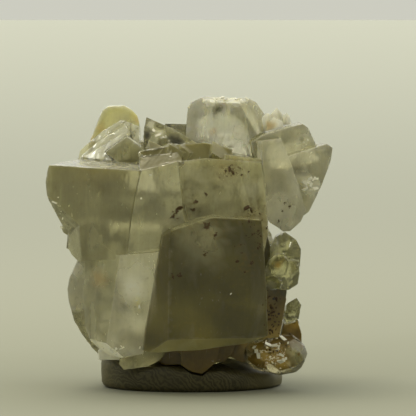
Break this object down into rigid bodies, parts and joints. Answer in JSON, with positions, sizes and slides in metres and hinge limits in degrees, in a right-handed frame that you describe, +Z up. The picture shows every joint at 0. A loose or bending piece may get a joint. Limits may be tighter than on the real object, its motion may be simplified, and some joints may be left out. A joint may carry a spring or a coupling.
{
  "type": "calcite specimen",
  "caption": "Intergrown cluster of smoky translucent calcite crystals with pale, yellow and iron-stained crystals on it, held upright in a pressed lump of display putty.",
  "frame": {"origin": "middle of the putty's flat foot, which stands on the surface below", "axes": "+Z up, +X to the right and +Y to the back, seen from the displayed front"},
  "size_m": [0.0736, 0.057, 0.0753],
  "materials": {
    "smoky_calcite": "translucent, natural flat faces with a dull glassy shine",
    "pale_calcite": "cloudy, pale, glassy faces",
    "lamellar_calcite": "stacked thin plates, silky on the broken edges",
    "clear_calcite": "clear and glassy",
    "stained_calcite": "glassy, stained yellow-brown by iron",
    "grey_putty": "soft dark grey putty with a waxy shine"
  },
  "bodies": {
    "root": {"calcite_cluster": "smoky_calcite", "pale_top_crystals": "pale_calcite", "lamellar_crystals": "lamellar_calcite", "side_crystals": "clear_calcite", "small_side_crystal": "clear_calcite", "stained_nodule": "stained_calcite", "underside_crystals": "stained_calcite", "mounting_putty": "grey_putty"}
  },
  "joints": []
}
